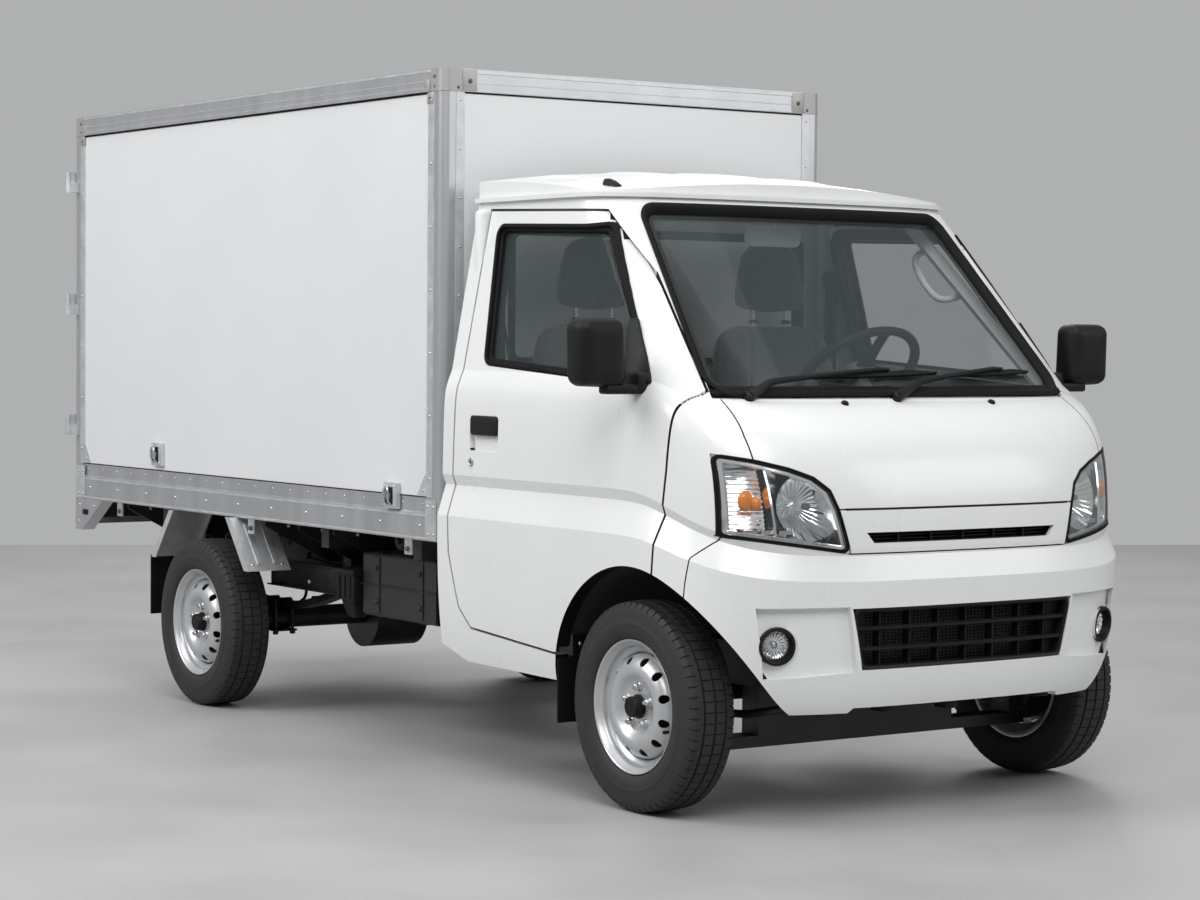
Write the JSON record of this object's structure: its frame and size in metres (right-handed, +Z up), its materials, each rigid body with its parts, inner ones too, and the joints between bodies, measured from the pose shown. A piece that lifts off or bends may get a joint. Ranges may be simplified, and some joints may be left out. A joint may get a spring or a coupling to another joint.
{
  "type": "van-body light truck",
  "caption": "Small cab-over box-van truck with hinged cab and cargo doors, steered front wheels and free-rolling wheels.",
  "frame": {"origin": "on the ground, at the middle of the vehicle's length and width", "axes": "+Z up, -Y the way the cab faces, +X the vehicle's left"},
  "size_m": [1.794, 3.9279, 1.938],
  "materials": {
    "white_paint": "gloss white paint",
    "white_panel": "satin white sandwich panel",
    "silver_frame": "brushed anodised extrusion",
    "cast_corner": "matt cast corner",
    "galvanised": "galvanised steel",
    "chassis_black": "satin black chassis paint",
    "engine_iron": "cast",
    "silver_wheel": "silver wheel paint",
    "tyre": "tyre rubber",
    "flap_rubber": "matt",
    "black_plastic": "grained black plastic",
    "grey_plastic": "grained grey plastic",
    "seat_fabric": "woven dark grey",
    "lamp_chrome": "reflector",
    "clear_lens": "clear lamp lens",
    "red_lens": "tail lamp lens",
    "cab_glass": "lightly tinted"
  },
  "bodies": {
    "vehicle": {"chassis_frame": "chassis_black", "engine_block": "engine_iron", "front_suspension": "chassis_black", "rear_axle": "chassis_black", "leaf_springs": "chassis_black", "fuel_tank": "chassis_black", "exhaust": "galvanised", "cab_floor": "chassis_black", "cab_frame": "white_paint", "front_fenders": "white_paint", "cab_roof": "white_paint", "cab_back_panel": "white_paint", "bonnet_panel": "white_paint", "grille_panel": "white_paint", "front_bumper": "white_paint", "front_grilles": "black_plastic", "front_lamps": "lamp_chrome", "front_lenses": "clear_lens", "cab_windows": "cab_glass", "cowl_and_wipers": "black_plastic", "dashboard": "grey_plastic", "seat_cushions": "seat_fabric", "seat_backs": "seat_fabric", "cab_mirror": "grey_plastic", "box_floor": "galvanised", "box_walls": "white_panel", "box_frame": "silver_frame", "corner_castings": "cast_corner", "box_fittings": "galvanised", "mudguards": "galvanised", "mudflaps": "flap_rubber", "tail_frame": "silver_frame", "tail_lamps": "red_lens"},
    "steering_wheel": {"steering_wheel": "black_plastic"},
    "cab_door_right": {"door_right": "white_paint", "door_glass_right": "cab_glass", "door_fittings_right": "black_plastic"},
    "box_door_right": {"rear_door_right": "white_panel", "rear_door_gear_right": "galvanised"},
    "steering_knuckle_right": {"knuckle_right": "chassis_black"},
    "wheel_front_right": {"tyre_front_right": "tyre", "rim_front_right": "silver_wheel"},
    "wheel_rear_right": {"tyre_rear_right": "tyre", "rim_rear_right": "silver_wheel"},
    "cab_door_left": {"door_left": "white_paint", "door_glass_left": "cab_glass", "door_fittings_left": "black_plastic"},
    "box_door_left": {"rear_door_left": "white_panel", "rear_door_gear_left": "galvanised"},
    "steering_knuckle_left": {"knuckle_left": "chassis_black"},
    "wheel_front_left": {"tyre_front_left": "tyre", "rim_front_left": "silver_wheel"},
    "wheel_rear_left": {"tyre_rear_left": "tyre", "rim_rear_left": "silver_wheel"}
  },
  "joints": [
    {"name": "steer_right", "type": "hinge", "parent": "vehicle", "child": "steering_knuckle_right", "pos_m": [-0.555, -1.493, 0.267], "axis": [0, 0, 1], "range_deg": [-30, 30]},
    {"name": "spin_front_right", "type": "hinge", "parent": "steering_knuckle_right", "child": "wheel_front_right", "pos_m": [-0.642, -1.493, 0.267], "axis": [-1, 0, 0], "continuous": true},
    {"name": "spin_rear_right", "type": "hinge", "parent": "vehicle", "child": "wheel_rear_right", "pos_m": [-0.642, 0.932, 0.267], "axis": [-1, 0, 0], "continuous": true},
    {"name": "open_cab_door_right", "type": "hinge", "parent": "vehicle", "child": "cab_door_right", "pos_m": [-0.737, -1.648, 0.9], "axis": [0, 0, 1], "range_deg": [0, 65]},
    {"name": "open_box_door_right", "type": "hinge", "parent": "vehicle", "child": "box_door_right", "pos_m": [-0.698, 1.95, 1.28], "axis": [0, 0, 1], "range_deg": [0, 270]},
    {"name": "steer_left", "type": "hinge", "parent": "vehicle", "child": "steering_knuckle_left", "pos_m": [0.555, -1.493, 0.267], "axis": [0, 0, 1], "range_deg": [-30, 30]},
    {"name": "spin_front_left", "type": "hinge", "parent": "steering_knuckle_left", "child": "wheel_front_left", "pos_m": [0.642, -1.493, 0.267], "axis": [-1, 0, 0], "continuous": true},
    {"name": "spin_rear_left", "type": "hinge", "parent": "vehicle", "child": "wheel_rear_left", "pos_m": [0.642, 0.932, 0.267], "axis": [-1, 0, 0], "continuous": true},
    {"name": "open_cab_door_left", "type": "hinge", "parent": "vehicle", "child": "cab_door_left", "pos_m": [0.737, -1.648, 0.9], "axis": [0, 0, -1], "range_deg": [0, 65]},
    {"name": "open_box_door_left", "type": "hinge", "parent": "vehicle", "child": "box_door_left", "pos_m": [0.698, 1.95, 1.28], "axis": [0, 0, -1], "range_deg": [0, 270]},
    {"name": "turn_steering_wheel", "type": "hinge", "parent": "vehicle", "child": "steering_wheel", "pos_m": [0.31, -1.121, 1.103], "axis": [0, 0.682, 0.7314], "range_deg": [-450, 450]}
  ],
  "couplings": [
    {"joint": "steer_left", "follows": "steer_right", "ratio": 1},
    {"joint": "turn_steering_wheel", "follows": "steer_right", "ratio": 15}
  ]
}
